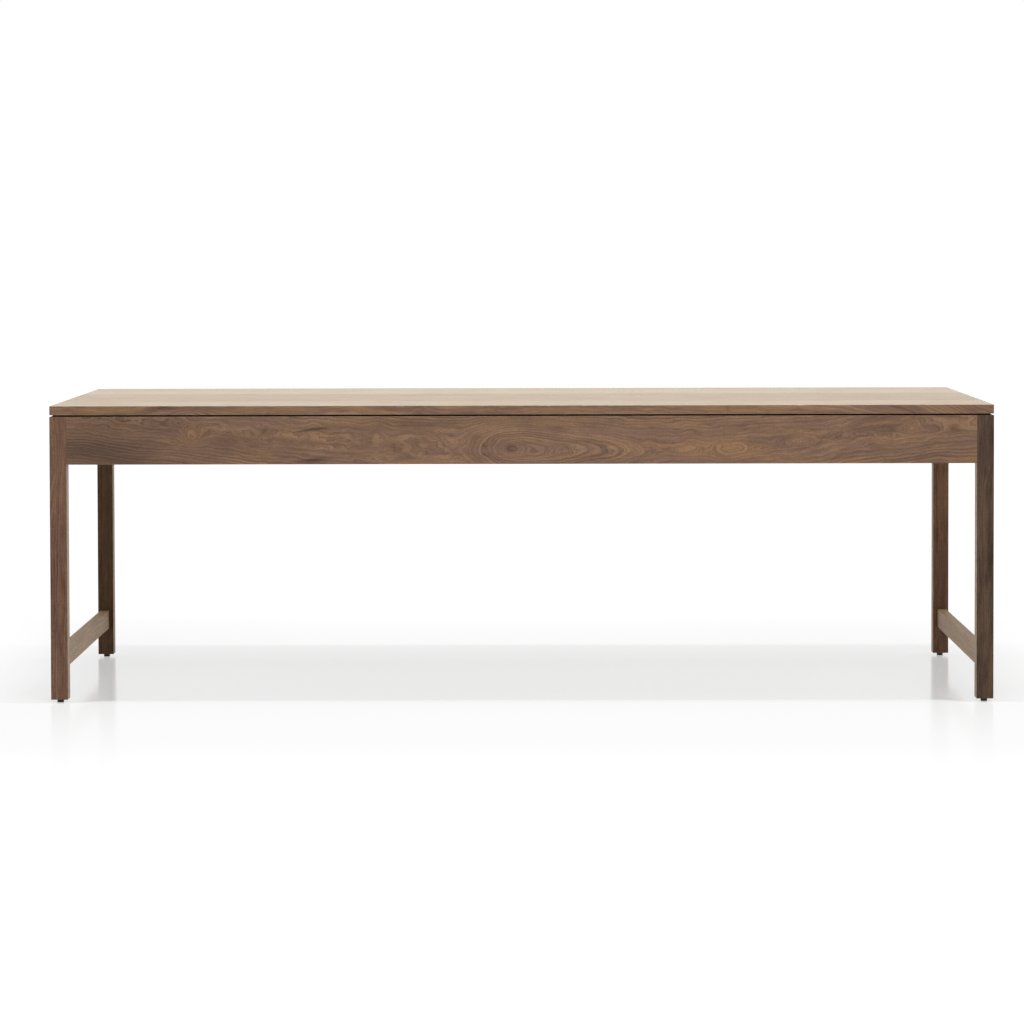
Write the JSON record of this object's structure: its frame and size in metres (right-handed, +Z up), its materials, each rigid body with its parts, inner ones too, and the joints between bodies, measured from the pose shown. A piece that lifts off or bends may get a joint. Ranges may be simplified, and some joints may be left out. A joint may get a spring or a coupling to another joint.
{
  "type": "dining table",
  "caption": "Long rectangular solid-wood dining table with a thin flat top, a shadow gap, deep flush aprons, square legs and low end stretchers.",
  "frame": {"origin": "on the floor under the centre of the top, with the feet screwed right in", "axes": "+X along the table to the right as seen from the front, +Y from front to rear, +Z up"},
  "size_m": [2.4, 1, 0.757],
  "materials": {
    "top_walnut": "satin clear lacquer over solid walnut",
    "apron_walnut": "satin clear lacquer over solid walnut",
    "leg_walnut": "satin clear lacquer over solid walnut",
    "gap_stain": "dark brown stain, matt",
    "inner_beech": "bare planed beech",
    "screw_steel": "bright zinc plated steel",
    "insert_brass": "plain brass",
    "foot_plastic": "dark brown nylon"
  },
  "bodies": {
    "table": {"tabletop_board_1": "top_walnut", "tabletop_board_2": "top_walnut", "tabletop_board_3": "top_walnut", "tabletop_board_4": "top_walnut", "tabletop_board_5": "top_walnut", "apron_front": "apron_walnut", "gap_strip_front": "gap_stain", "apron_rear": "apron_walnut", "gap_strip_rear": "gap_stain", "apron_left": "apron_walnut", "gap_strip_left": "gap_stain", "apron_right": "apron_walnut", "gap_strip_right": "gap_stain", "leg_front_left": "leg_walnut", "leg_front_right": "leg_walnut", "leg_rear_left": "leg_walnut", "leg_rear_right": "leg_walnut", "stretcher_left": "leg_walnut", "stretcher_right": "leg_walnut", "cross_rail_left": "inner_beech", "cross_rail_middle": "inner_beech", "cross_rail_right": "inner_beech", "corner_block_front_left": "inner_beech", "corner_block_front_right": "inner_beech", "corner_block_rear_left": "inner_beech", "corner_block_rear_right": "inner_beech", "top_buttons": "inner_beech", "button_screws": "screw_steel", "rail_screws": "screw_steel", "corner_block_screws": "screw_steel", "leg_inserts": "insert_brass"},
    "pad_front_left": {"foot_pad_front_left": "foot_plastic"},
    "stud_front_left": {"foot_stud_front_left": "screw_steel"},
    "pad_front_right": {"foot_pad_front_right": "foot_plastic"},
    "stud_front_right": {"foot_stud_front_right": "screw_steel"},
    "pad_rear_left": {"foot_pad_rear_left": "foot_plastic"},
    "stud_rear_left": {"foot_stud_rear_left": "screw_steel"},
    "pad_rear_right": {"foot_pad_rear_right": "foot_plastic"},
    "stud_rear_right": {"foot_stud_rear_right": "screw_steel"}
  },
  "joints": [
    {"name": "level_front_left", "type": "slide", "parent": "table", "child": "pad_front_left", "axis": [0, 0, -1], "range_m": [0, 0.012]},
    {"name": "turn_front_left", "type": "hinge", "parent": "pad_front_left", "child": "stud_front_left", "pos_m": [-1.1785, -0.4785, 0.008], "axis": [0, 0, -1], "range_deg": [0, 3456.1]},
    {"name": "level_front_right", "type": "slide", "parent": "table", "child": "pad_front_right", "axis": [0, 0, -1], "range_m": [0, 0.012]},
    {"name": "turn_front_right", "type": "hinge", "parent": "pad_front_right", "child": "stud_front_right", "pos_m": [1.1785, -0.4785, 0.008], "axis": [0, 0, -1], "range_deg": [0, 3456.1]},
    {"name": "level_rear_left", "type": "slide", "parent": "table", "child": "pad_rear_left", "axis": [0, 0, -1], "range_m": [0, 0.012]},
    {"name": "turn_rear_left", "type": "hinge", "parent": "pad_rear_left", "child": "stud_rear_left", "pos_m": [-1.1785, 0.4785, 0.008], "axis": [0, 0, -1], "range_deg": [0, 3456.1]},
    {"name": "level_rear_right", "type": "slide", "parent": "table", "child": "pad_rear_right", "axis": [0, 0, -1], "range_m": [0, 0.012]},
    {"name": "turn_rear_right", "type": "hinge", "parent": "pad_rear_right", "child": "stud_rear_right", "pos_m": [1.1785, 0.4785, 0.008], "axis": [0, 0, -1], "range_deg": [0, 3456.1]}
  ],
  "couplings": [
    {"joint": "turn_front_left", "follows": "level_front_left", "rad_per_m": 5026.5},
    {"joint": "turn_front_right", "follows": "level_front_right", "rad_per_m": 5026.5},
    {"joint": "turn_rear_left", "follows": "level_rear_left", "rad_per_m": 5026.5},
    {"joint": "turn_rear_right", "follows": "level_rear_right", "rad_per_m": 5026.5}
  ]
}
